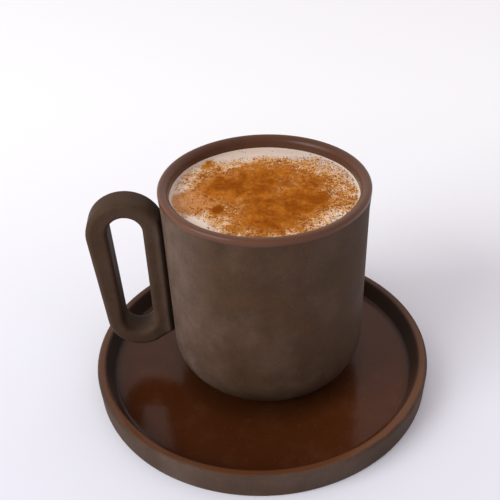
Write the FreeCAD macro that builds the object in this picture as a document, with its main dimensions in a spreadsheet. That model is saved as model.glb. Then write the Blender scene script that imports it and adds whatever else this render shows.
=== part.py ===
import FreeCAD, Part
import Sketcher
import math
import os

# A stoneware cup of salep standing on its saucer.
#
# The frame: +Z is up, and the origin is the centre of the saucer's underside.
# Lengths are in millimetres. The cup stands a little off the saucer's centre,
# and its handle points to -X.
#
# Three pieces are written: the saucer, the cup with its handle as one piece of
# clay, and the drink that fills the cup up to its level.

SHEET = "sizes"
AXIS = "axis"
SAME = 1e-4

SIZES = {
    # saucer: a shallow dish whose wall slopes inside, heights above its underside
    "saucer_radius": 74.8,
    "saucer_base_radius": 74.3,
    "saucer_height": 11.8,
    "saucer_wall": 3.8,
    "saucer_wall_foot": 7.0,
    "saucer_floor_top": 5.1,
    "saucer_foot_radius": 66.0,
    "saucer_foot_bevel": 1.2,
    "saucer_foot_depth": 1.2,
    "saucer_outer_round": 1.4,
    "saucer_inner_round": 1.4,
    "saucer_well_round": 1.6,
    "saucer_edge_round": 0.9,
    # cup: heights above its own base, which stands on the saucer's floor
    "cup_place_x": 3.2,
    "cup_place_y": 1.9,
    "cup_rim_radius": 42.9,
    "cup_neck_radius": 42.15,
    "cup_neck_height": 82.0,
    "cup_low_radius": 41.7,
    "cup_height": 91.65,
    "cup_wall": 4.5,
    "cup_floor": 4.6,
    "cup_foot_radius": 16.0,
    "cup_foot_bevel": 0.8,
    "cup_foot_depth": 0.8,
    "cup_outer_round": 1.4,
    "cup_inner_round": 2.9,
    "cup_corner_round": 19.0,
    "cup_well_round": 15.0,
    # drink: how far its surface lies below the cup's lip
    "drink_below_lip": 5.0,
    # handle: a flat ring in an upright plane through the cup's axis, with reaches
    # measured out from that axis and heights from the cup's base
    "ring_turn": 184.0,
    "ring_thickness": 12.3,
    "ring_top_reach": 57.15,
    "ring_top_height": 72.55,
    "ring_top_radius": 15.75,
    "ring_low_reach": 55.6,
    "ring_low_height": 29.6,
    "ring_low_radius": 14.2,
    "gap_top_reach": 56.9,
    "gap_top_height": 74.4,
    "gap_top_radius": 7.1,
    "gap_low_reach": 56.2,
    "gap_low_height": 29.5,
    "gap_low_radius": 6.3,
    "ring_edge_round": 1.6,
}


# ---------------------------------------------------------------- sizes

def make_sheet(document):
    """The spreadsheet that holds every driving size, one alias to a row."""
    sheet = document.addObject("Spreadsheet::Sheet", SHEET)
    for row, (alias, value) in enumerate(SIZES.items(), start=1):
        sheet.set("A{}".format(row), alias)
        sheet.set("B{}".format(row), str(value))
        sheet.setAlias("B{}".format(row), alias)
    document.recompute()
    return sheet


def measure(text):
    """The number that a sum of sizes such as "cup_height - cup_floor" comes to."""
    total = 0.0
    sign = 1.0
    for word in text.split():
        if word == "+":
            sign = 1.0
        elif word == "-":
            sign = -1.0
        else:
            total += sign * SIZES[word]
    return total


def formula(text):
    """The same sum as an expression that reads the sheet's aliases."""
    words = [word if word in "+-" else SHEET + "." + word for word in text.split()]
    return " ".join(words)


# ---------------------------------------------------------------- sketches

def origin_feature(body, role):
    """The body's own origin plane or axis that has this role."""
    for feature in body.Origin.OriginFeatures:
        if feature.Role == role:
            return feature
    raise ValueError("no origin feature " + role)


def upright_sketch(body, name):
    """An empty sketch on the body's XZ plane: across is X and up is Z."""
    sketch = body.newObject("Sketcher::SketchObject", name)
    sketch.AttachmentSupport = [(origin_feature(body, "XZ_Plane"), "")]
    sketch.MapMode = "FlatFace"
    return sketch


def bind(sketch, kind, where, name, text):
    """Adds a size constraint with a name and binds it to a sum of sizes."""
    index = sketch.addConstraint(Sketcher.Constraint(kind, *where, measure(text)))
    sketch.renameConstraint(index, name)
    sketch.setExpression("Constraints." + name, formula(text))


def pin_point(sketch, edge, spot, name, across, up):
    """Fixes a point of an edge by its distance from the axis and its height."""
    if across == AXIS:
        sketch.addConstraint(Sketcher.Constraint("PointOnObject", edge, spot, -2))
    else:
        bind(sketch, "DistanceX", (edge, spot), name + "_across", across)
    if up == AXIS:
        sketch.addConstraint(Sketcher.Constraint("PointOnObject", edge, spot, -1))
    else:
        bind(sketch, "DistanceY", (edge, spot), name + "_up", up)


def draw_profile(sketch, corners):
    """A closed outline of straight edges through corners given as sums of sizes."""
    spots = []
    for across, up in corners:
        x = 0.0 if across == AXIS else measure(across)
        y = 0.0 if up == AXIS else measure(up)
        spots.append(FreeCAD.Vector(x, y, 0))
    count = len(spots)
    for index in range(count):
        line = Part.LineSegment(spots[index], spots[(index + 1) % count])
        sketch.addGeometry(line, False)
    for index in range(count):
        after = (index + 1) % count
        sketch.addConstraint(Sketcher.Constraint("Coincident", index, 2, after, 1))
    for index, (across, up) in enumerate(corners):
        pin_point(sketch, index, 1, "corner{}".format(index), across, up)


def draw_long_loop(sketch, loop):
    """A loop of two arcs, a high one and a low one, joined by two straight edges.

    The straight edges touch both circles. Their outward normals n satisfy
    n . (high - low) = low radius - high radius, which gives one on each side.
    """
    high = FreeCAD.Vector(SIZES[loop + "_top_reach"], SIZES[loop + "_top_height"], 0)
    low = FreeCAD.Vector(SIZES[loop + "_low_reach"], SIZES[loop + "_low_height"], 0)
    high_radius = SIZES[loop + "_top_radius"]
    low_radius = SIZES[loop + "_low_radius"]
    apart = high.distanceToPoint(low)
    lean = math.atan2(high.y - low.y, high.x - low.x)
    spread = math.acos((low_radius - high_radius) / apart)
    outer = lean - spread
    inner = lean + spread

    facing = FreeCAD.Vector(0, 0, 1)
    first = sketch.GeometryCount
    high_arc, inner_edge, low_arc, outer_edge = range(first, first + 4)

    def touch(centre, radius, angle):
        return centre + FreeCAD.Vector(radius * math.cos(angle), radius * math.sin(angle), 0)

    arc = Part.ArcOfCircle(Part.Circle(high, facing, high_radius), outer, inner)
    sketch.addGeometry(arc, False)
    line = Part.LineSegment(touch(high, high_radius, inner), touch(low, low_radius, inner))
    sketch.addGeometry(line, False)
    arc = Part.ArcOfCircle(Part.Circle(low, facing, low_radius), inner, outer + 2 * math.pi)
    sketch.addGeometry(arc, False)
    line = Part.LineSegment(touch(low, low_radius, outer), touch(high, high_radius, outer))
    sketch.addGeometry(line, False)

    order = [high_arc, inner_edge, low_arc, outer_edge]
    for index, edge in enumerate(order):
        after = order[(index + 1) % len(order)]
        sketch.addConstraint(Sketcher.Constraint("Tangent", edge, 2, after, 1))
    for arc_edge, end in ((high_arc, "top"), (low_arc, "low")):
        stem = loop + "_" + end
        pin_point(sketch, arc_edge, 3, stem, stem + "_reach", stem + "_height")
        bind(sketch, "Radius", (arc_edge,), stem + "_radius", stem + "_radius")


# ---------------------------------------------------------------- features

def revolve(body, sketch, name):
    """Turns a sketched half section once about the body's upright axis."""
    turned = body.newObject("PartDesign::Revolution", name)
    turned.Profile = (sketch, [""])
    turned.ReferenceAxis = (sketch, ["V_Axis"])
    turned.Angle = 360.0
    body.Document.recompute()
    return turned


def circles_at(shape, across, up):
    """Names of the round edges that a corner of the half section turned into."""
    names = []
    for number, edge in enumerate(shape.Edges, start=1):
        curve = edge.Curve
        if not isinstance(curve, Part.Circle):
            continue
        height = 0.0 if up == AXIS else measure(up)
        if abs(curve.Radius - measure(across)) < SAME and abs(curve.Center.z - height) < SAME:
            names.append("Edge{}".format(number))
    if not names:
        raise ValueError("no round edge at " + across)
    return names


def round_off(body, base, name, corners, size):
    """Rounds the edges that stand at these corners of the half section."""
    edges = []
    for across, up in corners:
        edges += circles_at(base.Shape, across, up)
    rounded = body.newObject("PartDesign::Fillet", name)
    rounded.Base = (base, edges)
    rounded.setExpression("Radius", formula(size))
    body.Document.recompute()
    return rounded


def place_on_saucer(document_object):
    """Stands a piece on the saucer's floor, over the cup's own axis."""
    document_object.setExpression("Placement.Base.x", formula("cup_place_x"))
    document_object.setExpression("Placement.Base.y", formula("cup_place_y"))
    document_object.setExpression("Placement.Base.z", formula("saucer_floor_top"))


# ---------------------------------------------------------------- saucer

def make_saucer(document):
    """The dish: a flat floor, a foot ring, and a wall that slopes inside."""
    body = document.addObject("PartDesign::Body", "SaucerBody")
    body.Label = "saucer"
    foot_edge = ("saucer_foot_radius + saucer_foot_bevel", AXIS)
    base_edge = ("saucer_base_radius", AXIS)
    outer_lip = ("saucer_radius", "saucer_height")
    inner_lip = ("saucer_radius - saucer_wall", "saucer_height")
    well_edge = ("saucer_base_radius - saucer_wall_foot", "saucer_floor_top")
    sketch = upright_sketch(body, "SaucerSection")
    draw_profile(sketch, [
        (AXIS, "saucer_foot_depth"),
        ("saucer_foot_radius", "saucer_foot_depth"),
        foot_edge,
        base_edge,
        outer_lip,
        inner_lip,
        well_edge,
        (AXIS, "saucer_floor_top"),
    ])
    dish = revolve(body, sketch, "SaucerTurned")
    well = round_off(body, dish, "SaucerWell", [well_edge], "saucer_well_round")
    inner = round_off(body, well, "SaucerInnerLip", [inner_lip], "saucer_inner_round")
    outer = round_off(body, inner, "SaucerOuterLip", [outer_lip], "saucer_outer_round")
    round_off(body, outer, "SaucerEdge", [base_edge], "saucer_edge_round")
    return body


# ---------------------------------------------------------------- cup

def make_mug(document):
    """The cup's body: a flat base, a deep round corner and a wall with a flared lip."""
    body = document.addObject("PartDesign::Body", "MugBody")
    body.Label = "mug"
    outer_lip = ("cup_rim_radius", "cup_height")
    inner_lip = ("cup_rim_radius - cup_wall", "cup_height")
    neck = ("cup_neck_radius", "cup_neck_height")
    outer_corner = ("cup_low_radius", AXIS)
    inner_corner = ("cup_low_radius - cup_wall", "cup_floor")
    sketch = upright_sketch(body, "MugSection")
    draw_profile(sketch, [
        (AXIS, "cup_foot_depth"),
        ("cup_foot_radius", "cup_foot_depth"),
        ("cup_foot_radius + cup_foot_bevel", AXIS),
        outer_corner,
        neck,
        outer_lip,
        inner_lip,
        inner_corner,
        (AXIS, "cup_floor"),
    ])
    turned = revolve(body, sketch, "MugTurned")
    corner = round_off(body, turned, "MugCorner", [outer_corner], "cup_corner_round")
    inside = round_off(body, corner, "MugInside", [inner_corner], "cup_well_round")
    inner = round_off(body, inside, "MugInnerLip", [inner_lip], "cup_inner_round")
    round_off(body, inner, "MugOuterLip", [outer_lip], "cup_outer_round")
    place_on_saucer(body)
    return body


def flat_face_edges(shape):
    """Names of the edges that lie in the two flat faces of an upright slab."""
    names = []
    for number, edge in enumerate(shape.Edges, start=1):
        box = edge.BoundBox
        if box.YLength < SAME:
            names.append("Edge{}".format(number))
    return names


def make_ring(document):
    """The handle: a ring cut from a flat slab, with all its edges softened."""
    body = document.addObject("PartDesign::Body", "RingBody")
    body.Label = "ring"
    sketch = upright_sketch(body, "RingOutline")
    draw_long_loop(sketch, "ring")
    draw_long_loop(sketch, "gap")
    slab = body.newObject("PartDesign::Pad", "RingSlab")
    slab.Profile = (sketch, [""])
    slab.setExpression("Length", formula("ring_thickness"))
    slab.SideType = "Symmetric"
    document.recompute()
    softened = body.newObject("PartDesign::Fillet", "RingSoftened")
    softened.Base = (slab, flat_face_edges(slab.Shape))
    softened.setExpression("Radius", formula("ring_edge_round"))
    body.Placement = FreeCAD.Placement(
        FreeCAD.Vector(), FreeCAD.Rotation(FreeCAD.Vector(0, 0, 1), SIZES["ring_turn"]))
    body.setExpression("Placement.Rotation.Angle", formula("ring_turn"))
    place_on_saucer(body)
    document.recompute()
    return body


def make_cup(document):
    """The cup as one piece of clay: its body with the ring joined to the wall."""
    mug = make_mug(document)
    ring = make_ring(document)
    cup = document.addObject("Part::Fuse", "Cup")
    cup.Label = "cup"
    cup.Base = mug
    cup.Tool = ring
    document.recompute()
    return cup


# ---------------------------------------------------------------- drink

def make_salep(document):
    """The drink: it fills the cup's inside and ends in a flat surface.

    The cup's inside leans outwards a little, so the drink is first turned to the
    full height of the cup and then cut off at its own level.
    """
    body = document.addObject("PartDesign::Body", "SalepBody")
    body.Label = "salep"
    inner_corner = ("cup_low_radius - cup_wall", "cup_floor")
    level = "cup_height - drink_below_lip"
    sketch = upright_sketch(body, "SalepSection")
    draw_profile(sketch, [
        (AXIS, "cup_floor"),
        inner_corner,
        ("cup_rim_radius - cup_wall", "cup_height"),
        (AXIS, "cup_height"),
    ])
    full = revolve(body, sketch, "SalepTurned")
    corner = round_off(body, full, "SalepCorner", [inner_corner], "cup_well_round")
    brim = upright_sketch(body, "AboveLevel")
    draw_profile(brim, [
        (AXIS, level),
        ("cup_rim_radius", level),
        ("cup_rim_radius", "cup_height"),
        (AXIS, "cup_height"),
    ])
    before = corner.Shape.Volume
    groove = body.newObject("PartDesign::Groove", "SalepLevel")
    groove.Profile = (brim, [""])
    groove.ReferenceAxis = (brim, ["V_Axis"])
    groove.Angle = 360.0
    place_on_saucer(body)
    document.recompute()
    if not groove.Shape.Volume < before:
        raise RuntimeError("the drink was not cut down to its level")
    return body


# ---------------------------------------------------------------- writing

def check_document(document):
    """Stops if any object of the document failed to compute."""
    for item in document.Objects:
        if "Invalid" in item.State or "Error" in item.State:
            raise RuntimeError("{} failed: {}".format(item.Name, item.State))


def write_piece(piece):
    """Checks that a piece is one valid solid and writes it as a STEP file."""
    shape = piece.Shape
    if shape.isNull() or not shape.isValid():
        raise RuntimeError(piece.Label + " has no valid shape")
    if len(shape.Solids) != 1:
        raise RuntimeError(piece.Label + " is not one solid")
    shape.exportStep("parts/{}.step".format(piece.Label))
    box = shape.BoundBox
    print("{}: {:.1f} cm3, x {:.1f}..{:.1f}, y {:.1f}..{:.1f}, z {:.1f}..{:.1f}".format(
        piece.Label, shape.Volume / 1000.0, box.XMin, box.XMax, box.YMin, box.YMax,
        box.ZMin, box.ZMax))


def main():
    document = FreeCAD.newDocument("cup_of_salep")
    make_sheet(document)
    pieces = [make_saucer(document), make_cup(document), make_salep(document)]
    document.recompute()
    check_document(document)
    os.makedirs("parts", exist_ok=True)
    for piece in pieces:
        write_piece(piece)


main()
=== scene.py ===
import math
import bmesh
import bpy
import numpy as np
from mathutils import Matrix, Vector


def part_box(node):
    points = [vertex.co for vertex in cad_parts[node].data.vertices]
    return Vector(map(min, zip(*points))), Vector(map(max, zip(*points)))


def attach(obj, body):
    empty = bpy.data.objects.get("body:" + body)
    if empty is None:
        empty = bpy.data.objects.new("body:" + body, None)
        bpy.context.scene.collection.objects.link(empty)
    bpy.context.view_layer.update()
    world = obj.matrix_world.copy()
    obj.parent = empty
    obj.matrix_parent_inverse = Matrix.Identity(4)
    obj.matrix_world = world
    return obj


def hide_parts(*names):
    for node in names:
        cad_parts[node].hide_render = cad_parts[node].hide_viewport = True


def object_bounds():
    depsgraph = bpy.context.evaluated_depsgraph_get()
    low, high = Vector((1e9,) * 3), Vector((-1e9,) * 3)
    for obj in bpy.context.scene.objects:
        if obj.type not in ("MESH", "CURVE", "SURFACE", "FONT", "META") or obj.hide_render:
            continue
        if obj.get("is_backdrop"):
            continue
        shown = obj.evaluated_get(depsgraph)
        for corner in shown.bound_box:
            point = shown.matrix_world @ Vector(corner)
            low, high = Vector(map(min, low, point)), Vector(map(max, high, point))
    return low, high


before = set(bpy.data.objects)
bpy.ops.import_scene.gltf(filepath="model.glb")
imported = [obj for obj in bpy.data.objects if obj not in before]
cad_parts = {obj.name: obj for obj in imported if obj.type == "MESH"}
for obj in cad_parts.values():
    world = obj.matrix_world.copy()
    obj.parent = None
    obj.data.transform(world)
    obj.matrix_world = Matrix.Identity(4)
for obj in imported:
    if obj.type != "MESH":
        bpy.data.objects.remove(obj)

# %% [markdown]
# # A stoneware cup of salep
# Salep is a thick hot milk drink with ground cinnamon over it. Here it stands in
# a straight-sided stoneware cup on a shallow saucer. The clay is left bare
# outside, and a dark brown glaze covers the inside of both and runs just over
# their lips. The part's solids fix every place and size, and this lesson dresses
# them: it builds each surface from a formula, gives it a finish made of nodes,
# and lights it on a pale floor. Lengths are in metres, so `MM` turns
# millimetres into them.

MM = 0.001
CAD_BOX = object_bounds()
SAUCER_LOW, SAUCER_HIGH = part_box("saucer")
CUP_LOW, CUP_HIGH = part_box("cup")
DRINK_LOW, DRINK_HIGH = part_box("salep")

CUP_AXIS_X = (DRINK_LOW.x + DRINK_HIGH.x) / 2
CUP_AXIS_Y = (DRINK_LOW.y + DRINK_HIGH.y) / 2
CUP_BASE = CUP_LOW.z
CUP_LIP = CUP_HIGH.z
LEVEL = DRINK_HIGH.z
RIM_RADIUS = CUP_HIGH.x - CUP_AXIS_X
SAUCER_RADIUS = (SAUCER_HIGH.x - SAUCER_LOW.x) / 2
SAUCER_LIP = SAUCER_HIGH.z
DRINK_EDGE = (DRINK_HIGH.x - DRINK_LOW.x) / 2
print(f"cup: rim radius {RIM_RADIUS / MM:.1f} mm, lip at {CUP_LIP / MM:.1f} mm")
print(f"drink: level at {LEVEL / MM:.1f} mm, saucer: radius {SAUCER_RADIUS / MM:.1f} mm")

# %% [markdown]
# ## The camera
# The camera looks down at the cup from the front, a little more than a third of
# the way from level to straight down. A camera's place and turn fit in one
# matrix: its columns are the camera's right, its up, the way back from where it
# looks, and its place. Building that matrix from three named angles is easier to
# adjust than a row of mouse moves.

# %% Camera
HEADING = math.radians(-1.448)
DOWNWARD = math.radians(34.782)
TILT = math.radians(-2.34)
EYE = Vector((3.1, -257.86, 244.04)) * MM

ahead = Vector((
    math.sin(HEADING) * math.cos(DOWNWARD),
    math.cos(HEADING) * math.cos(DOWNWARD),
    -math.sin(DOWNWARD),
))
level_right = Vector((math.cos(HEADING), -math.sin(HEADING), 0))
level_up = level_right.cross(ahead)
right = math.cos(TILT) * level_right + math.sin(TILT) * level_up
up = math.cos(TILT) * level_up - math.sin(TILT) * level_right

camera = bpy.data.objects.new("camera", bpy.data.cameras.new("camera"))
camera.data.lens = 54
camera.data.sensor_width = 36
camera.data.clip_start = 0.01
columns = (right, up, -ahead, EYE)
rows = [[column[axis] for column in columns] for axis in range(3)]
camera.matrix_world = Matrix(rows + [[0, 0, 0, 1]])
bpy.context.collection.objects.link(camera)
bpy.context.scene.camera = camera
print("camera looks down by", round(math.degrees(DOWNWARD), 1), "degrees")

# %% [markdown]
# ## From arrays to a mesh
# Blender can model a cup with Spin or with a Screw modifier. Here each surface is
# worked out as whole numpy arrays instead, and one helper hands the arrays to
# Blender in a single step. It also measures the volume that the faces enclose: if
# the faces point outwards the volume is positive, and if not they are turned.


# %% Helper: a mesh from points and faces
def enclosed(points, triangles):
    """Sum over the triangles of a . (b x c) / 6, the volume that they enclose."""
    a, b, c = (points[triangles[:, k]] for k in range(3))
    return float(np.einsum("ij,ij->i", a, np.cross(b, c)).sum() / 6)


def make_piece(name, points, quads, triangles):
    """A smooth mesh object at the origin from arrays of points and of faces."""
    fans = [triangles, quads[:, [0, 1, 2]], quads[:, [0, 2, 3]]]
    volume = enclosed(points, np.concatenate(fans))
    if volume < 0:
        quads, triangles = quads[:, ::-1], triangles[:, ::-1]
    corners = np.concatenate([quads.ravel(), triangles.ravel()])
    sides = np.concatenate([np.full(len(quads), 4), np.full(len(triangles), 3)])
    starts = np.concatenate([[0], np.cumsum(sides)[:-1]])

    mesh = bpy.data.meshes.new(name)
    mesh.vertices.add(len(points))
    mesh.vertices.foreach_set("co", points.astype(np.float32).ravel())
    mesh.loops.add(len(corners))
    mesh.loops.foreach_set("vertex_index", corners.astype(np.int32))
    mesh.polygons.add(len(sides))
    mesh.polygons.foreach_set("loop_start", starts.astype(np.int32))
    mesh.polygons.foreach_set("use_smooth", np.ones(len(sides), bool))
    mesh.update(calc_edges=True)
    mesh.validate()
    piece = bpy.data.objects.new(name, mesh)
    bpy.context.collection.objects.link(piece)
    count = 2 * len(quads) + len(triangles)
    print(f"{name}: {count} triangles, {abs(volume) * 1e6:.1f} cubic centimetres")
    return piece


def points_of(piece):
    """The piece's points as an array with a row of x, y, z for each."""
    flat = np.empty(len(piece.data.vertices) * 3, np.float32)
    piece.data.vertices.foreach_get("co", flat)
    return flat.reshape(-1, 3).astype(float)


def climb(value, start, width):
    """0 up to start and 1 from start + width on. A negative width makes it fall."""
    return np.clip((value - start) / width, 0, 1)


def write_values(piece, name, values):
    """Stores one number for each point, which a material can read by its name."""
    layer = piece.data.attributes.new(name, "FLOAT", "POINT")
    layer.data.foreach_set("value", np.asarray(values, np.float32))


# %% [markdown]
# ## A half section with soft corners
# A potter's cup is a half section turned about an axis. Clay has no sharp
# corners, so each corner of the section is swapped for an arc that touches both
# of its straight sides. The straight runs are divided too, because a surface
# that is slightly uneven needs points to bend at.


# %% Helper: a softened section
ARC_STEPS = 12
RUN_STEP = 1.6 * MM


def unit(vector):
    """The vector's direction, one unit long."""
    return vector / np.linalg.norm(vector)


def soft_section(corners):
    """The section through corners given as (across, up, rounding) in millimetres.

    At a corner with a rounding, the arc's centre lies on the line that halves the
    corner, at rounding / sin(half angle), and the arc begins rounding / tan(half
    angle) away from the corner on either side.
    """
    spots = np.array([corner[:2] for corner in corners], float)
    arcs = []
    for number, (across, height, rounding) in enumerate(corners):
        here = np.array([across, height], float)
        if rounding == 0:
            arcs.append(here[None])
            continue
        back = unit(spots[number - 1] - here)
        onward = unit(spots[(number + 1) % len(spots)] - here)
        half = math.acos(np.clip(back @ onward, -1, 1)) / 2
        centre = here + unit(back + onward) * rounding / math.sin(half)
        first = here + back * rounding / math.tan(half) - centre
        last = here + onward * rounding / math.tan(half) - centre
        swing = math.pi - 2 * half
        part = np.linspace(0, 1, ARC_STEPS + 1)[:, None]
        arc = (np.sin((1 - part) * swing) * first + np.sin(part * swing) * last)
        arcs.append(centre + arc / math.sin(swing))
    runs = [arcs[0]]
    for before, after in zip(arcs, arcs[1:]):
        gap = np.linalg.norm(after[0] - before[-1]) * MM
        steps = max(1, round(gap / RUN_STEP))
        part = np.linspace(0, 1, steps + 1)[1:-1, None]
        runs += [before[-1] + part * (after[0] - before[-1]), after]
    return np.concatenate(runs) * MM


# %% [markdown]
# ## Slightly uneven, as made by hand
# A thrown cup is never a perfect circle. A few slow waves round the piece, drawn
# from a seeded random generator so that they are the same each time, take up to
# a fifth of a millimetre off it. They only ever take away, so the piece stays
# within the measures of its solid.

# %% Helper: turning a section into a body
TURN_STEPS = 288
UNEVEN, FADE_IN = 0.2 * MM, 30 * MM
LOBES, LEAN = (2, 3, 4, 5, 7, 9), 60


def waviness(angle, height, seed):
    """Mean of waves cos(k angle + m height + phase), brought to 0..1."""
    draw = np.random.default_rng(seed)
    total = np.zeros(np.broadcast(angle, height).shape)
    for lobes in LOBES:
        lean = draw.uniform(-LEAN, LEAN)
        phase = draw.uniform(0, 2 * math.pi)
        total += np.cos(lobes * angle + lean * height + phase)
    return 0.5 + total / (2 * len(LOBES))


def turned(name, section, axis_x, axis_y, base, seed):
    """The section turned about an upright axis, closed at both poles.

    A point at angle t stands at (r cos t, r sin t, up), where r is the section's
    distance from the axis less the unevenness there.
    """
    inner = section[1:-1]
    angle = np.linspace(0, 2 * math.pi, TURN_STEPS, endpoint=False)[None]
    across, height = inner[:, :1], inner[:, 1:]
    reach = across - UNEVEN * climb(across, 0, FADE_IN) * waviness(angle, height, seed)
    grid = np.stack([
        axis_x + reach * np.cos(angle),
        axis_y + reach * np.sin(angle),
        base + height + 0 * angle,
    ], axis=-1)
    rings = len(inner)
    poles = np.array([
        (axis_x, axis_y, base + section[0, 1]),
        (axis_x, axis_y, base + section[-1, 1]),
    ])
    index = np.arange(rings * TURN_STEPS).reshape(rings, TURN_STEPS)
    following = np.roll(index, -1, axis=1)
    quads = np.stack([index[:-1], following[:-1], following[1:], index[1:]], -1)
    low, high = rings * TURN_STEPS, rings * TURN_STEPS + 1
    fans = np.concatenate([
        np.stack([following[0], index[0], np.full(TURN_STEPS, low)], -1),
        np.stack([index[-1], following[-1], np.full(TURN_STEPS, high)], -1),
    ])
    points = np.concatenate([grid.reshape(-1, 3), poles])
    return make_piece(name, points, quads.reshape(-1, 4), fans)


# %% [markdown]
# ## The saucer
# The saucer is a flat dish with a short wall, upright outside and sloped inside.
# One section gives it all: the foot ring that it stands on, the outer wall, the
# lip and the flat floor. Two numbers are stored at each point for the finish to
# read: how far it lies from the glaze's edge, and how dark its painted shade is.

# %% Saucer
SAUCER_RIM = SAUCER_RADIUS / MM
SAUCER_FLOOR = 5.1
FOOT_RADIUS, FOOT_DEPTH = 66.0, 1.2
LIP_INWARDS, FLOOR_INWARDS = 3.8, 7.5
GLAZE_LINE_SAUCER = 1.3 * MM
UNDERSIDE_TOP = 3 * MM
FAR_FROM_LINE = 5 * MM
# Painted shade inside the saucer: a dark band in the corner of floor and wall, fading out at the
# front, and a contact shadow round the cup's foot.
SHADE_RING_START, SHADE_RING_END, SHADE_RING_FRONT = 3.0, 9.0, -44
CUP_SHADE_REACH, CUP_SHADE_DEPTH = 46, 0.5

saucer_section = soft_section([
    (0, FOOT_DEPTH, 0),
    (FOOT_RADIUS, FOOT_DEPTH, 0.5),
    (FOOT_RADIUS + FOOT_DEPTH, 0, 0.5),
    (SAUCER_RIM - 0.5, 0, 0.9),
    (SAUCER_RIM, SAUCER_LIP / MM, 1.4),
    (SAUCER_RIM - LIP_INWARDS, SAUCER_LIP / MM, 1.4),
    (SAUCER_RIM - FLOOR_INWARDS, SAUCER_FLOOR, 1.6),
    (0, SAUCER_FLOOR, 0),
])
saucer = turned("saucer_dish", saucer_section, 0, 0, 0, seed=3)


def glaze_on_saucer(points):
    """How far inside the glaze's edge on the lip, or on the bare underside."""
    inwards = SAUCER_RADIUS - np.hypot(points[:, 0], points[:, 1])
    above = points[:, 2] > UNDERSIDE_TOP
    return np.where(above, inwards - GLAZE_LINE_SAUCER, -FAR_FROM_LINE) / MM


def shade_on_saucer(points):
    """How dark the painted shade is: in the corner of floor and wall, and round the cup."""
    x, y = points[:, 0] / MM, points[:, 1] / MM
    inwards = SAUCER_RIM - np.hypot(x, y)
    ring = climb(inwards, SHADE_RING_START, 1.0) * climb(inwards, SHADE_RING_END, -1.2)
    ring *= climb(y, SHADE_RING_FRONT, 32)
    from_cup = np.hypot(x - CUP_AXIS_X / MM, y - CUP_AXIS_Y / MM)
    by_cup = CUP_SHADE_DEPTH * climb(from_cup, CUP_SHADE_REACH, -8)
    return np.where(points[:, 2] > UNDERSIDE_TOP, np.maximum(ring, by_cup), 0)


write_values(saucer, "glaze_reach", glaze_on_saucer(points_of(saucer)))
write_values(saucer, "shade", shade_on_saucer(points_of(saucer)))

# %% [markdown]
# ## The cup's body
# The cup is turned in the same way. Its wall is nearly straight, opens a little
# at the very top, and meets the base in a deep round corner.

# %% Cup body
CUP_RIM = RIM_RADIUS / MM
CUP_TALL = (CUP_LIP - CUP_BASE) / MM
CUP_WALL = 4.5
CUP_FLOOR = 4.6
LOW_RADIUS, LOW_CORNER, WELL_CORNER = 41.7, 19.0, 15.0
NECK_RADIUS, NECK_HEIGHT = 42.15, 82.0
RECESS_RADIUS, RECESS_DEPTH = 16.0, 0.8

cup_section = soft_section([
    (0, RECESS_DEPTH, 0),
    (RECESS_RADIUS, RECESS_DEPTH, 0.3),
    (RECESS_RADIUS + RECESS_DEPTH, 0, 0.3),
    (LOW_RADIUS, 0, LOW_CORNER),
    (NECK_RADIUS, NECK_HEIGHT, 60.0),
    (CUP_RIM, CUP_TALL, 1.4),
    (CUP_RIM - CUP_WALL, CUP_TALL, 2.9),
    (LOW_RADIUS - CUP_WALL, CUP_FLOOR, WELL_CORNER),
    (0, CUP_FLOOR, 0),
])
cup = turned("cup_body", cup_section, CUP_AXIS_X, CUP_AXIS_Y, CUP_BASE, seed=8)

# %% [markdown]
# ## The handle
# The handle is a ring cut from a flat slab of clay and set edge on against the
# cup. Its outer loop and its gap are each two arcs joined by two straight runs.
# The surface carries a rounded rectangle round the ring, from the gap's loop on
# one side to the outer loop on the other, so that its two faces stay flat. Wet
# fingers softened the front edges most, where the ring meets the cup, and drew
# the clay at the ring's foot straight into the wall.

# %% Handle
HANDLE_TURN = math.radians(184)
HANDLE_HALF = 6.15
SOFT_BACK = 1.6
SOFT_OUTER, SOFT_BY_CUP, BY_CUP_REACH = 2.3, 3.0, 51
SOFT_GAP, SOFT_GAP_LOW, GAP_LOW_HEIGHT = 1.8, 2.6, 38
DRAWN_START, DRAWN_SLOPE = (48.4, 17.4), 0.614
ARC_STATIONS, RUN_STATIONS = 44, 26
CORNER_STEPS, SIDE_STEPS = 8, 12
OUTER_LOOP = ((57.15, 72.55, 15.75), (55.6, 29.6, 14.2))
GAP_LOOP = ((56.9, 74.4, 7.1), (56.2, 29.5, 6.3))


def loop_points(loop):
    """A high and a low arc joined by the straight lines that touch both circles.

    The touching lines' outward normals n satisfy n . (high - low) = low radius -
    high radius, which gives one normal on each side.
    """
    high, low = (np.array(circle[:2]) for circle in loop)
    high_radius, low_radius = loop[0][2], loop[1][2]
    apart = high - low
    lean = math.atan2(apart[1], apart[0])
    spread = math.acos((low_radius - high_radius) / np.linalg.norm(apart))
    turn = np.linspace(lean - spread, lean + spread, ARC_STATIONS)
    top = high + high_radius * np.stack([np.cos(turn), np.sin(turn)], -1)
    turn = np.linspace(lean + spread, lean - spread + 2 * math.pi, ARC_STATIONS)
    bottom = low + low_radius * np.stack([np.cos(turn), np.sin(turn)], -1)
    part = np.linspace(0, 1, RUN_STATIONS + 2)[1:-1, None]
    down = top[-1] + part * (bottom[0] - top[-1])
    back_up = bottom[-1] + part * (top[0] - bottom[-1])
    return np.concatenate([top, down, bottom, back_up])


def drawn_foot(loop):
    """The loop, with its foot drawn straight to the cup instead of curving up."""
    across, height = loop[:, 0], loop[:, 1]
    straight = DRAWN_START[1] + (DRAWN_START[0] - across) * DRAWN_SLOPE
    near = (across < DRAWN_START[0]) & (height < OUTER_LOOP[1][1])
    return np.stack([across, np.where(near, np.minimum(height, straight), height)], -1)


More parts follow.
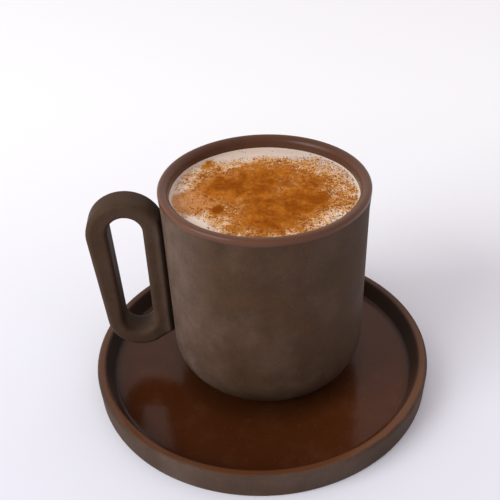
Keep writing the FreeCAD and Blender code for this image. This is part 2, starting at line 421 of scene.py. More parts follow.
def slab_ring(name, outer, gap):
    """A rounded rectangle carried round, from the gap's loop to the outer loop.

    Across the ring a point stands at middle + (f W + g s) along the way from gap
    to outer loop, where W is half the clay's width there, f is -1 or 1 for the
    side and g runs from 0 to -1 round each corner. Its depth is v (H - s) + l s,
    with H half the slab. The softening s differs from corner to corner.
    """
    middle = (outer + gap) / 2
    way = outer - gap
    width = np.linalg.norm(way, axis=1, keepdims=True) / 2
    way = way / (2 * width)
    swing = np.linspace(0, math.pi / 2, CORNER_STEPS)
    between = np.linspace(0, 1, SIDE_STEPS)[1:-1]
    ease, still = 1 - 2 * between, np.zeros(len(between))
    side, soft, level, lift, share = [], [], [], [], []
    for quarter, (f, h) in enumerate(((1, 1), (-1, 1), (-1, -1), (1, -1))):
        around = swing + quarter * math.pi / 2
        flat = quarter in (0, 2)
        side += [np.full(len(swing), f), f * ease if flat else f + still]
        soft += [np.cos(around) - f, -f * ease if flat else still]
        level += [np.full(len(swing), h), h + still if flat else h * ease]
        lift += [np.sin(around), h + still if flat else still]
        corner = np.eye(4)[quarter][:, None]
        following = np.eye(4)[(quarter + 1) % 4][:, None]
        share += [np.repeat(corner, len(swing), 1),
                  corner * (1 - between) + following * between]
    side, soft, level, lift = (
        np.concatenate(row)[None] for row in (side, soft, level, lift))
    by_cup = climb(outer[:, 0], BY_CUP_REACH, -4)
    low = climb(gap[:, 1], GAP_LOW_HEIGHT, -8)
    softness = np.stack([
        SOFT_OUTER + (SOFT_BY_CUP - SOFT_OUTER) * by_cup,
        SOFT_GAP + (SOFT_GAP_LOW - SOFT_GAP) * low,
        SOFT_BACK + 0 * low,
        SOFT_BACK + 0 * low,
    ], -1) @ np.concatenate(share, 1)
    across = side * width + soft * softness
    reach = (middle[:, :1] + across * way[:, :1]) * MM
    height = (middle[:, 1:] + across * way[:, 1:]) * MM
    depth = (level * (HANDLE_HALF - softness) + lift * softness) * MM
    grid = np.stack([
        CUP_AXIS_X + reach * math.cos(HANDLE_TURN) - depth * math.sin(HANDLE_TURN),
        CUP_AXIS_Y + reach * math.sin(HANDLE_TURN) + depth * math.cos(HANDLE_TURN),
        CUP_BASE + height,
    ], axis=-1)
    stations, steps = reach.shape
    index = np.arange(stations * steps).reshape(stations, steps)
    after = np.roll(index, -1, axis=0)
    beside = np.roll(index, -1, axis=1)
    corner = np.roll(after, -1, axis=1)
    quads = np.stack([index, after, corner, beside], -1).reshape(-1, 4)
    return make_piece(name, grid.reshape(-1, 3), quads, np.empty((0, 3), int))


handle = slab_ring("cup_handle", drawn_foot(loop_points(OUTER_LOOP)), loop_points(GAP_LOOP))

# %% [markdown]
# ## One piece of clay
# The real handle is luted on with wet clay and fired, so cup and handle are one
# piece. A Boolean modifier set to Union joins two closed meshes in the same way
# and takes away the faces between them. It is applied at once, and edges where
# the surface turns sharply are marked, so the crevice beside the handle stays
# crisp under smooth shading.


# %% Joining the handle to the cup
def join_clay(body, arm, name):
    """Joins two closed meshes into one and removes the second object."""
    union = body.modifiers.new("union", "BOOLEAN")
    union.operation = "UNION"
    union.solver = "EXACT"
    union.object = arm
    view = bpy.context.evaluated_depsgraph_get()
    joined = bpy.data.meshes.new_from_object(body.evaluated_get(view))
    body.modifiers.clear()
    body.data = joined
    body.data.name = name
    body.name = name
    bpy.data.objects.remove(arm)
    joined.polygons.foreach_set("use_smooth", np.ones(len(joined.polygons), bool))
    joined.set_sharp_from_angle(angle=math.radians(35))
    return body


cup = join_clay(cup, handle, "cup_clay")
check = bmesh.new()
check.from_mesh(cup.data)
open_edges = sum(not edge.is_manifold for edge in check.edges)
check.free()
print("cup_clay:", len(cup.data.polygons), "faces,", open_edges, "open edges")

# %% What the cup's finish reads
GLAZE_LINE_CUP = 2.6 * MM
MID_WALL, MID_CORNER = 40.2 * MM, 17 * MM
# Painted shade along the crevice where the handle meets the wall.
SEAM_REACH, SEAM_LOW, SEAM_HIGH = 42.5, 20.5, 85
SEAM_INSET, SEAM_FLATNESS = 0.9, 1.3
SEAM_SOFT, SEAM_FADE = 0.75, 1.9


def glaze_on_cup(points):
    """Height above the glaze's edge outside, and a sure yes over the inside.

    Inside is what lies nearer the axis than the middle of the clay. That line
    runs straight up the wall and down round the corner as part of an ellipse.
    """
    away = np.hypot(points[:, 0] - CUP_AXIS_X, points[:, 1] - CUP_AXIS_Y)
    height = points[:, 2] - CUP_BASE
    corner = climb(height, LOW_CORNER * MM, -LOW_CORNER * MM)
    shell = MID_WALL - MID_CORNER * (1 - np.sqrt(1 - corner ** 2))
    inside = (away < shell) & (height > UNDERSIDE_TOP)
    above_line = points[:, 2] - (CUP_LIP - GLAZE_LINE_CUP)
    return np.where(inside, FAR_FROM_LINE, above_line) / MM


def crevice_shade_on_cup(points):
    """Painted shade by the seam between handle and wall, 0 to 1, strongest closest to it."""
    x, y = points[:, 0] - CUP_AXIS_X, points[:, 1] - CUP_AXIS_Y
    reach = x * math.cos(HANDLE_TURN) + y * math.sin(HANDLE_TURN)
    depth = y * math.cos(HANDLE_TURN) - x * math.sin(HANDLE_TURN)
    height = (points[:, 2] - CUP_BASE) / MM
    along = climb(height, SEAM_LOW, 2) * climb(height, SEAM_HIGH, -4)
    sideways = (np.abs(depth) / MM - HANDLE_HALF + SEAM_INSET) / SEAM_FLATNESS
    away = np.hypot(reach / MM - SEAM_REACH, sideways)
    return along * np.clip(SEAM_FADE - away / SEAM_SOFT, 0, 1)


write_values(cup, "glaze_reach", glaze_on_cup(points_of(cup)))
write_values(cup, "shade", crevice_shade_on_cup(points_of(cup)))

# %% [markdown]
# ## Where the cinnamon fell
# The powder was tapped from a spoon, so it lies thick over the middle and thins
# out to single specks. The map of it is a sum of soft drifts: each is a named
# spot on the drink with a length, a width, a turn and a weight, and a negative
# weight keeps a patch of milk bare. Random unevenness of several sizes is added,
# which frays the edges of the drifts as real powder does.


# %% Helper: smooth random unevenness
LATTICE = 256


def bumpy(x, y, size, seed):
    """Random heights on a square lattice, blended smoothly between its knots.

    Between knots the blend is 3 t^2 - 2 t^3, with t the part of a cell covered.
    """
    knots = np.random.default_rng(seed).uniform(-1, 1, (LATTICE, LATTICE))
    u, v = x / size + LATTICE / 2, y / size + LATTICE / 2
    column, row = np.floor(u).astype(int), np.floor(v).astype(int)
    s, t = u - column, v - row
    s, t = s * s * (3 - 2 * s), t * t * (3 - 2 * t)
    column, row = column % (LATTICE - 1), row % (LATTICE - 1)
    low = knots[row, column] * (1 - s) + knots[row, column + 1] * s
    high = knots[row + 1, column] * (1 - s) + knots[row + 1, column + 1] * s
    return low * (1 - t) + high * t


def layered(layers, x, y):
    """The sum of several unevennesses, each with its depth, size in mm and seed."""
    return sum(depth * bumpy(x, y, size * MM, seed) for depth, size, seed in layers)


# %% The drifts of powder
# Each drift: place (x, y) from the cup's axis, length, width (all mm), turn in
# degrees, weight.
DRIFTS = (
    (3, -1, 26, 29, 0, 0.98),
    (-12, 6.5, 18, 10, 22, 0.42),
    (0, -27, 19, 10, 0, 0.45),
    (-16, 2, 10, 6, 10, 0.35),
    (15, -8, 11, 8, -15, 0.35),
    (3, -15, 12, 11, 0, 0.35),
    (2, 19, 16, 7, 0, 0.25),
    (-23.7, 24, 2.8, 4.2, 0, 0.75),
    (-18.5, -13, 2.5, 3.0, 0, 1.35),
    (-24, -23, 9, 4, -43, -0.45),
    (-25, -20, 13, 9, -43, 0.28),
    (27, -2, 15, 28, 0, 0.27),
    (20, -23, 14, 9, 30, -0.04),
    (20, -22, 9, 5, 20, -0.2),
    (33.5, -6, 5, 11, 0, 0.18),
    (-25, 13, 12, 13, 0, 0.42),
    (-12, 24, 16, 6, 12, 0.12),
    (6, 5.5, 4, 3, 0, 0.12),
    (20, 24, 15, 7, -25, -0.02),
    (0, 37, 44, 8, 0, -0.4),
)
SOAKED = ((-29, -6.5, 11.5, 9.5, 0, 1.0), (-20, 3, 9, 9, 20, 0.5))
BARE_EDGE = 1.9 * MM
FRAY = ((0.13, 7, 11), (0.16, 3.2, 12), (0.19, 1.6, 13))


def pile_up(drifts, x, y):
    """The sum of drifts weight exp(-q^1.6) with q = (u/length)^2 + (v/width)^2.

    The power makes each drift flat on top and firm at its edge.
    """
    total = np.zeros(np.broadcast(x, y).shape)
    for place_x, place_y, length, width, turn, weight in drifts:
        lean = math.radians(turn)
        dx, dy = x / MM - place_x, y / MM - place_y
        u = dx * math.cos(lean) + dy * math.sin(lean)
        v = dy * math.cos(lean) - dx * math.sin(lean)
        total += weight * np.exp(-((u / length) ** 2 + (v / width) ** 2) ** 1.6)
    return total


def off_wall(x, y):
    """0 at the wall and 1 where the bare edge ends."""
    return climb(np.hypot(x, y), DRINK_EDGE, -BARE_EDGE)


def soaked(x, y):
    """How far the milk is soaked through, which stops short of the wall."""
    return pile_up(SOAKED, x, y) * off_wall(x, y)


def powder(x, y):
    """The pile of all drifts, made uneven where it is thick, and bare by the wall."""
    total = pile_up(DRIFTS, x, y)
    frayed = total + layered(FRAY, x, y) * np.clip(total * 3, 0, 1)
    return frayed * off_wall(x, y)


# %% [markdown]
# ## The drink
# Salep is thickened, so its surface is smooth and bulges slightly. Where it meets
# the wall it climbs a little, as any liquid does. The solid fills the cup below
# and reaches a trace into the wall, so no gap shows.

# %% Drink
INTO_WALL, INTO_FLOOR = 0.25, 0.2
CREEP, CREEP_WIDTH = 0.45 * MM, 1.1 * MM
BELOW_LEVEL = 0.15 * MM
SWELLS = ((0.1 * MM, 14, 21), (0.03 * MM, 4, 22))
EDGE_BAND, EDGE_RINGS = 3.2, 14
INNER_BAND, INNER_RINGS = 3.9, 62


def milk_height(x, y):
    """The level, lifted by creep exp(-gap / width) beside the wall, and slow swells."""
    gap = DRINK_EDGE - np.hypot(x, y)
    creep = CREEP * np.exp(-np.maximum(gap, 0) / CREEP_WIDTH)
    return LEVEL - BELOW_LEVEL + creep + layered(SWELLS, x, y)


edge_mm = DRINK_EDGE / MM + INTO_WALL
level_mm = (LEVEL - CUP_BASE) / MM
drink_section = soft_section([
    (0, CUP_FLOOR - INTO_FLOOR, 0),
    (LOW_RADIUS - CUP_WALL + INTO_WALL, CUP_FLOOR - INTO_FLOOR, WELL_CORNER),
    (edge_mm, level_mm, 0),
])
below = drink_section[drink_section[:, 1] < level_mm * MM - 0.2 * MM]
top_across = np.concatenate([
    np.linspace(edge_mm, edge_mm - EDGE_BAND, EDGE_RINGS) * MM,
    np.linspace(edge_mm - INNER_BAND, 0, INNER_RINGS) * MM,
])
top = np.stack([top_across, np.full(len(top_across), level_mm * MM)], -1)
drink = turned("salep_milk", np.concatenate([below, top]), CUP_AXIS_X, CUP_AXIS_Y, CUP_BASE, 5)

points = points_of(drink)
x, y = points[:, 0] - CUP_AXIS_X, points[:, 1] - CUP_AXIS_Y
on_top = points[:, 2] > LEVEL - 0.05 * MM
points[:, 2] = np.where(on_top, milk_height(x, y), points[:, 2])
drink.data.vertices.foreach_set("co", points.astype(np.float32).ravel())
drink.data.update()
write_values(drink, "powder", np.where(on_top, powder(x, y), 0))
write_values(drink, "soaked", np.where(on_top, soaked(x, y), 0))
print(f"drink: top spans {np.ptp(points[on_top, 2]) / MM:.2f} mm in height")

# %% [markdown]
# ## The cinnamon crust
# Where the powder lies thick it forms a crust with its own relief. The crust is
# a thin slab whose top follows the map of powder: where the map is high the top
# stands above the milk, and where it is low the top dips under the milk and is
# not seen, so the frayed outline makes itself. A square grid is bent into a disc
# by x = u sqrt(1 - v^2 / 2) and y = v sqrt(1 - u^2 / 2), which keeps its cells
# almost equal.

# %% Crust
CRUST_CELLS = 270
CRUST_START = 0.82
CRUST_DOTS = ((0.16, 1.5, 33), (0.17, 0.8, 34))
CRUST_LUMPS = ((0.1 * MM, 1.6, 31), (0.06 * MM, 0.7, 32))
CRUST_RISE = 0.4 * MM
CRUST_EDGE = DRINK_EDGE - 0.9 * MM
CRUST_UNDERSIDE = LEVEL - 1.6 * MM


def crust_height(x, y):
    """The milk's height plus rise tanh(amount), whose dotted edge comes from noise."""
    amount = powder(x, y) - CRUST_START + layered(CRUST_DOTS, x, y)
    lumps = layered(CRUST_LUMPS, x, y) * np.clip(0.5 + amount, 0, 1)
    return milk_height(x, y) + CRUST_RISE * np.tanh(amount * 1.6) + lumps


u, v = np.meshgrid(*[np.linspace(-1, 1, CRUST_CELLS + 1)] * 2)
x = CRUST_EDGE * u * np.sqrt(1 - v ** 2 / 2)
y = CRUST_EDGE * v * np.sqrt(1 - u ** 2 / 2)
z = crust_height(x, y)
grid = np.stack([CUP_AXIS_X + x, CUP_AXIS_Y + y, z], -1).reshape(-1, 3)
index = np.arange(len(grid)).reshape(u.shape)
quads = np.stack([index[:-1, :-1], index[:-1, 1:], index[1:, 1:], index[1:, :-1]], -1)
border = np.concatenate([index[0, :-1], index[:-1, -1], index[-1, :0:-1], index[:0:-1, 0]])
under = grid[border] * (1, 1, 0) + (0, 0, CRUST_UNDERSIDE)
lower = len(grid) + np.arange(len(border))
next_lower = np.roll(lower, -1)
skirt = np.stack([border, lower, next_lower, np.roll(border, -1)], -1)
middle = np.array([[CUP_AXIS_X, CUP_AXIS_Y, CRUST_UNDERSIDE]])
fan = np.stack([lower, np.full(len(border), len(grid) + len(border)), next_lower], -1)
crust = make_piece(
    "cinnamon_crust",
    np.concatenate([grid, under, middle]),
    np.concatenate([quads.reshape(-1, 4), skirt]),
    fan,
)
none_below = np.zeros(len(border) + 1)
write_values(crust, "powder", np.concatenate([powder(x, y).ravel(), none_below]))

# %% [markdown]
# ## Loose grains
# Single grains of cinnamon lie on the crust and on the bare milk. Each is a small
# stretched eight-sided lump, turned at random, and all of them together are one
# mesh. Ground bark has two kinds of grain, many fine ones and a few coarse dark
# flecks. Grains are dealt out evenly and then kept or dropped by the map, so
# they thin out as the powder does.


# %% Helpers: dealing out grains
FINE_DEALT, FLAKES_DEALT = 22000, 3600
FINE_SIZES = (0.16 * MM, 0.4 * MM)
FLAKE_SIZES = (0.35 * MM, 0.8 * MM)
LUMP_POINTS = 6


def deal(count, seed, chance):
    """Places spread evenly over the disc, kept with the chance found at each."""
    draw = np.random.default_rng(seed)
    reach = (DRINK_EDGE - 1.0 * MM) * np.sqrt(draw.uniform(0, 1, count))
    turn = draw.uniform(0, 2 * math.pi, count)
    x, y = reach * np.cos(turn), reach * np.sin(turn)
    kept = draw.uniform(0, 1, count) < chance(powder(x, y), soaked(x, y), x / DRINK_EDGE)
    return x[kept], y[kept]


def lumps_at(x, y, small, large, flatness, seed):
    """Stretched octahedra at these places: points and triangles.

    Each corner of the octahedron is scaled along three axes, pushed a little at
    random, and turned by a random turn about the upright and a small lean.
    """
    draw = np.random.default_rng(seed)
    count = len(x)
    corners = np.array([
        (1, 0, 0), (-1, 0, 0), (0, 1, 0), (0, -1, 0), (0, 0, 1), (0, 0, -1)], float)
    size = draw.uniform(small, large, (count, 1)) / 2
    stretch = np.stack([
        draw.uniform(0.8, 1.6, count),
        draw.uniform(0.6, 1.0, count),
        draw.uniform(*flatness, count),
    ], -1)
    body = corners[None] * (stretch * size)[:, None]
    body += draw.uniform(-0.25, 0.25, body.shape) * size[:, None]
    turn = draw.uniform(0, 2 * math.pi, count)
    lean = draw.uniform(-0.5, 0.5, count)
    px, py, pz = body[..., 0], body[..., 1], body[..., 2]
    c, s = np.cos(lean)[:, None], np.sin(lean)[:, None]
    px, pz = c * px + s * pz, c * pz - s * px
    c, s = np.cos(turn)[:, None], np.sin(turn)[:, None]
    px, py = c * px - s * py, s * px + c * py
    ground = np.maximum(milk_height(x, y), crust_height(x, y))
    rest = ground + 0.35 * size[:, 0] * flatness[1]
    points = np.stack([
        CUP_AXIS_X + x[:, None] + px,
        CUP_AXIS_Y + y[:, None] + py,
        rest[:, None] + pz,
    ], -1)
    sides = np.array([
        (0, 2, 4), (2, 1, 4), (1, 3, 4), (3, 0, 4),
        (2, 0, 5), (1, 2, 5), (3, 1, 5), (0, 3, 5)])
    faces = sides[None] + LUMP_POINTS * np.arange(count)[:, None, None]
    return points.reshape(-1, 3), faces.reshape(-1, 3)


# %% Where grains show
def fine_chance(amount, wet, to_right):
    """Fine grains show most on thin powder, and few show where the milk is soaked."""
    dry = 1 - 0.75 * np.clip(wet, 0, 1)
    least = 0.12 * (amount > 0.8) + 0.02
    return dry * np.clip(0.02 + 2.2 * amount * (1.15 - amount), least, 0.6)


def flake_chance(amount, wet, to_right):
    """Coarse flecks show on thin powder, and most of them fell to the right."""
    right = np.clip(to_right, 0, 1)
    thin = np.clip(1.15 - amount, 0.06, 1) * np.clip(amount / 0.2, 0.06 + 0.2 * right, 1)
    dry = 1 - 0.5 * np.clip(wet, 0, 1)
    return dry * np.clip((0.33 + 0.75 * right) * thin, 0.01, 0.9)


# %% The grains
fine_x, fine_y = deal(FINE_DEALT, 41, fine_chance)
flake_x, flake_y = deal(FLAKES_DEALT, 42, flake_chance)
fine_points, fine_faces = lumps_at(fine_x, fine_y, *FINE_SIZES, (0.5, 0.9), 43)
flake_points, flake_faces = lumps_at(flake_x, flake_y, *FLAKE_SIZES, (0.25, 0.5), 44)
grains = make_piece(
    "cinnamon_grains",
    np.concatenate([fine_points, flake_points]),
    np.empty((0, 4), int),
    np.concatenate([fine_faces, flake_faces + len(fine_points)]),
)
grains.data.polygons.foreach_set("use_smooth", np.zeros(len(grains.data.polygons), bool))
tone = np.random.default_rng(45).uniform(0, 1, len(fine_x) + len(flake_x))
# Fine grains read darker on bare milk. A tone from 1 on marks a fleck.
bare = np.clip(1.1 - powder(fine_x, fine_y), 0, 1)
tone[:len(fine_x)] = np.clip(0.6 * tone[:len(fine_x)] + 0.7 * bare, 0, 1)
tone[len(fine_x):] += 1
write_values(grains, "tone", np.repeat(tone, LUMP_POINTS))
print("grains:", len(fine_x), "fine,", len(flake_x), "coarse")

# %% [markdown]
# ## Building finishes from nodes
# Small helpers keep the node code short. Each adds one node, plugs in its inputs
# and returns its output, so a finish reads like arithmetic. An input may be a
# plain value or another node's output, and `plug` takes either. An output knows
# the tree that it stands in, as its `id_data`, so the helpers find it there.


# %% Helpers: single nodes
def plug(socket, value):
    """Links another node's output to the socket, or sets the socket to a value."""
    if isinstance(value, bpy.types.NodeSocket):
        socket.id_data.links.new(value, socket)
    else:
        socket.default_value = value


def plug_all(sockets, values):
    """Plugs each value into the socket of its name."""
    for name, value in values.items():
        plug(sockets[name], value)


def add(tree, kind, inputs=None, **settings):
    """Adds a node with these settings and inputs."""
    node = tree.nodes.new(kind)
    for name, value in settings.items():
        setattr(node, name, value)
    plug_all(node.inputs, inputs or {})
    return node


def ramp(value, low, high, out_low=0.0, out_high=1.0):
    """A smooth step of value from out_low at low to out_high at high."""
    return add(value.id_data, "ShaderNodeMapRange", {
        "Value": value, "From Min": low, "From Max": high, "To Min": out_low, "To Max": out_high,
    }, interpolation_type="SMOOTHSTEP").outputs["Result"]


# %% Helpers: mixing and arithmetic
# A mix node has sockets for every kind of data: those of the two inputs and of
# the output, by kind.
MIX_SOCKETS = {"RGBA": (6, 7, 2), "FLOAT": (2, 3, 0)}


def blend(part, first, second, kind="RGBA"):
    """Mixes two colours, or numbers: the first where part is 0, the second at 1."""
    first_at, second_at, out = MIX_SOCKETS[kind]
    return add(part.id_data, "ShaderNodeMix", {
        0: part, first_at: first, second_at: second,
    }, data_type=kind, clamp_factor=True).outputs[out]


def math_node(operation, first, second=0.0, third=0.0):
    """One operation of arithmetic, on an output and one or two more values."""
    tree = (first if isinstance(first, bpy.types.NodeSocket) else second).id_data
    return add(tree, "ShaderNodeMath", {0: first, 1: second, 2: third},
               operation=operation).outputs[0]


def times(first, second, more=0.0):
    """first times second, plus more."""
    return math_node("MULTIPLY_ADD", first, second, more)


def plus(first, second):
    """first plus second."""
    return math_node("ADD", first, second)


def scaled(color, factor):
    """The colour made brighter or darker by a factor."""
    return add(color.id_data, "ShaderNodeVectorMath", {0: color, "Scale": factor},
               operation="SCALE").outputs[0]


# %% Helpers: noise, stored numbers and relief
def noise(where, scale, detail=2.0, roughness=0.5):
    """Noise with this many waves to the metre."""
    return add(where.id_data, "ShaderNodeTexNoise", {
        "Vector": where, "Scale": scale, "Detail": detail, "Roughness": roughness,
    }).outputs["Fac"]


def stored(tree, name):
    """The number that the mesh stores under this name."""
    return add(tree, "ShaderNodeAttribute", attribute_name=name).outputs["Fac"]


def parts(vector):
    """The X, Y and Z of a vector."""
    return add(vector.id_data, "ShaderNodeSeparateXYZ", {"Vector": vector}).outputs


def bumped(height, strength, distance):
    """A normal tilted by a height, as if the surface were that much in relief."""
    return add(height.id_data, "ShaderNodeBump", {
        "Height": height, "Strength": strength, "Distance": distance}).outputs["Normal"]


# %% [markdown]
# A node group is made once, with named inputs and outputs, and used wherever its
# effect is seen, with values for all its inputs each time. A new material comes
# with one node, the Principled shader, which every finish here ends in.


# %% Helpers: groups and materials
def start_group(name, inputs, outputs):
    """A node group, what it is given as outputs, and the inputs of its result."""
    group = bpy.data.node_groups.new(name, "ShaderNodeTree")
    for direction, sockets in (("INPUT", inputs), ("OUTPUT", outputs)):
        for label, kind in sockets.items():
            group.interface.new_socket(label, in_out=direction, socket_type=kind)
    given = group.nodes.new("NodeGroupInput").outputs
    return group, given, group.nodes.new("NodeGroupOutput").inputs


def use_group(tree, group, inputs):
    """Places a group in a material and returns its outputs."""
    return add(tree, "ShaderNodeGroup", inputs, node_tree=group).outputs


def start_material(name):
    """A material, its tree, its shader's inputs and the piece's own coordinates."""
    material = bpy.data.materials.new(name)
    material.use_nodes = True
    tree = material.node_tree
    where = add(tree, "ShaderNodeTexCoord").outputs["Object"]
    return material, tree, tree.nodes["Principled BSDF"].inputs, where


def dress(piece, material):
    """Gives the piece this one material."""
    piece.data.materials.clear()
    piece.data.materials.append(material)


COLOR, FLOAT, VECTOR = "NodeSocketColor", "NodeSocketFloat", "NodeSocketVector"

# %% [markdown]
# ## Bare stoneware
# Fired clay without glaze is matt and a little sandy. Its colour drifts slowly
# from greyer to browner, hands and kiln leave paler smudges, and tiny dark iron
# specks dot it. Painted light makes the side towards the lamp paler, by the
# amount that the group is given for it. The group gives a colour, a roughness and
# a height for the bump, all from noise in the piece's own coordinates.

# %% Group: bare stoneware
stoneware_group, given, result = start_group(
    "bare_stoneware",
    {"Where": VECTOR, "Clay": COLOR, "Smudge": COLOR, "Smudging": FLOAT, "Lit Side": FLOAT},
    {"Color": COLOR, "Roughness": FLOAT, "Height": FLOAT})
slow = noise(given["Where"], 38, 3, 0.55)
patchy = noise(given["Where"], 140, 4, 0.6)
sandy = noise(given["Where"], 1500, 2, 0.6)
specks = noise(given["Where"], 700, 1, 0.4)
smudge_and_light = times(ramp(slow, 0.42, 0.68), given["Smudging"])
# Painted light: the side towards the lamp is pushed towards the paler colour of the smudges.
paler_lit_side = times(given["Lit Side"], ramp(patchy, 0.2, 0.7, 0.8, 1.05))
smudge_and_light = plus(smudge_and_light, paler_lit_side)
clay = blend(smudge_and_light, given["Clay"], given["Smudge"])
shade = ramp(patchy, 0.25, 0.75, 0.86, 1.14)
sand = ramp(sandy, 0.25, 0.75, 0.88, 1.12)
dots = ramp(specks, 0.2, 0.28, 0.7, 1.0)
level_of_clay = times(times(shade, sand), dots)
relief = plus(times(sandy, 0.6), times(patchy, 0.8))
plug_all(result, {
    "Color": scaled(clay, level_of_clay),
    "Roughness": ramp(patchy, 0.3, 0.7, 0.62, 0.74),
    "Height": relief,
})
print(stoneware_group.name, "has", len(stoneware_group.nodes), "nodes")

# %% [markdown]
# ## Brown glaze
# The glaze is a film of dark, reddish-brown glass. It is smooth, with a slow
# ripple like orange peel. It runs thinner over lips, where the pale body shows
# through and makes it lighter, and it is flecked by the iron in the clay.

# %% Group: brown glaze
glaze_group, given, result = start_group(
    "brown_glaze",
    {"Where": VECTOR, "Deep": COLOR, "Thin": COLOR, "Thinness": FLOAT, "Dullness": FLOAT},
    {"Color": COLOR, "Roughness": FLOAT, "Height": FLOAT})
cloudy = noise(given["Where"], 90, 3, 0.55)
fleck = noise(given["Where"], 900, 1, 0.4)
peel = noise(given["Where"], 260, 1, 0.4)
thin = plus(given["Thinness"], ramp(cloudy, 0.45, 0.75, 0.0, 0.22))
film = blend(thin, given["Deep"], given["Thin"])
film = blend(ramp(fleck, 0.7, 0.76, 0.0, 0.5), film, given["Thin"])
drift = ramp(cloudy, 0.3, 0.7, 0.85, 1.15)
plug_all(result, {
    "Color": film,
    "Roughness": times(drift, given["Dullness"]),
    "Height": peel,
})
print(glaze_group.name, "has", len(glaze_group.nodes), "nodes")

# %% [markdown]
# ## Glazed stoneware
# One function makes the finish of cup and saucer from the two groups. The number
# stored in the mesh says how far above the glaze's edge each point lies. Noise
# makes that edge wander, because glaze is wiped off by hand with a sponge.


# %% Material: stoneware, glazed in part
# The dark brown of the painted shade, in the crevice by the handle and inside the saucer.
SHADE_BROWN = (0.013, 0.0042, 0.0012, 1)
WANDER = 1.6
# Painted light: clay and glaze are paler on the side towards the lamp, fading in between these
# two places.
LIT_SIDE_FROM, LIT_SIDE_TO = CUP_AXIS_X - 14 * MM, CUP_AXIS_X - 40 * MM
HANDLE_FROM, HANDLE_TO = CUP_AXIS_X - 42 * MM, CUP_AXIS_X - 46 * MM


def glazed_stoneware(name, clay, smudge_and_light, smudging, lit_side_light, deep, thin, dullness, lips,
                     thin_from, low_shade=(0, MM, 1.0, 1.0), handle_shade=1.0, right_light=1.0):
    """Stoneware whose glaze starts where the stored reach passes zero.

    The glaze grows thin between the two heights in lips, fully in front of the
    first depth in thin_from and not at all behind the second. Painted shade darkens
    the clay downwards as the argument after thin_from says: two heights and a
    factor for each. Painted shade darkens the handle's clay by a factor of its own,
    painted light makes the glaze lighter at the right, by as many times as the last
    argument says, and the stored painted shade darkens both.
    """
    material, tree, shader, where = start_material(name)
    wander = times(noise(where, 120, 2), WANDER, -WANDER / 2)
    edge = plus(stored(tree, "glaze_reach"), wander)
    covered = ramp(edge, -0.25, 0.25)
    shade = stored(tree, "shade")
    place = parts(where)
    side, height = place["X"], place["Z"]
    thinness = times(ramp(height, *lips), ramp(place["Y"], thin_from[1], thin_from[0]))
    # Painted light: how much paler the side towards the lamp is painted.
    to_lit_side = ramp(side, LIT_SIDE_FROM, LIT_SIDE_TO, 0.0, lit_side_light)
    off_handle = ramp(side, HANDLE_TO, HANDLE_FROM)
    bare = use_group(tree, stoneware_group, {
        "Where": where, "Clay": clay, "Smudge": smudge_and_light, "Smudging": smudging,
        "Lit Side": times(to_lit_side, off_handle)})
    glazed = use_group(tree, glaze_group, {
        "Where": where, "Deep": deep, "Thin": thin, "Thinness": thinness,
        "Dullness": dullness})
    # Painted shade: the clay is darker towards the bottom and on the handle.
    level = times(ramp(height, *low_shade), times(off_handle, 1 - handle_shade, handle_shade))
    # Painted light: the glaze is lighter on the side towards the lamp, and at the right by the
    # last argument.
    painted_glaze_light = times(to_lit_side, 0.15, ramp(side, 0.0, 55 * MM, 1.0, right_light))
    finish = blend(covered, scaled(bare["Color"], level), scaled(glazed["Color"], painted_glaze_light))
    # The stored painted shade darkens the colour towards that dark brown and roughens the glaze.
    film_roughness = times(shade, 0.25, glazed["Roughness"])
    film_height = times(glazed["Height"], 0.6, 0.9)
    relief = blend(covered, bare["Height"], film_height, "FLOAT")
    plug_all(shader, {
        "Base Color": blend(times(shade, 0.8), finish, SHADE_BROWN),
        "Roughness": blend(covered, bare["Roughness"], film_roughness, "FLOAT"),
        "Normal": bumped(relief, 0.35, 0.25 * MM),
        "Specular IOR Level": 0.2,
    })
    return material


dress(cup, glazed_stoneware(
    "cup_stoneware",
    clay=(0.0545, 0.0262, 0.0115, 1), smudge_and_light=(0.115, 0.073, 0.053, 1), smudging=0.25,
    lit_side_light=0.75, deep=(0.078, 0.03, 0.0155, 1), thin=(0.108, 0.044, 0.0245, 1),
    dullness=0.32, lips=(CUP_LIP - 3.5 * MM, CUP_LIP - 0.5 * MM),
    thin_from=(-15 * MM, 40 * MM), low_shade=(-5 * MM, 45 * MM, 0.62, 1.0), handle_shade=0.88))
dress(saucer, glazed_stoneware(
    "saucer_stoneware",
    clay=(0.058, 0.031, 0.018, 1), smudge_and_light=(0.115, 0.077, 0.062, 1), smudging=0.3,
    lit_side_light=0.35, deep=(0.051, 0.0132, 0.0033, 1), thin=(0.095, 0.035, 0.015, 1),
    dullness=0.17, lips=(SAUCER_LIP - 2.5 * MM, SAUCER_LIP),
    thin_from=(5 * MM, 45 * MM), right_light=1.3))

# %% [markdown]
# ## Cinnamon
# Ground cinnamon is a dull orange-brown dust whose grains differ in tone. The
# group turns an amount of powder into how much of the milk it hides and what
# colour it has. It is used on the milk, as a thin dusting, and on the crust.

# %% Group: cinnamon dust
DUST_COLORS = {
    "Light": (0.42, 0.128, 0.01, 1),
    "Dark": (0.275, 0.066, 0.001, 1),
    "Packed": (0.21, 0.046, 0.001, 1),
}

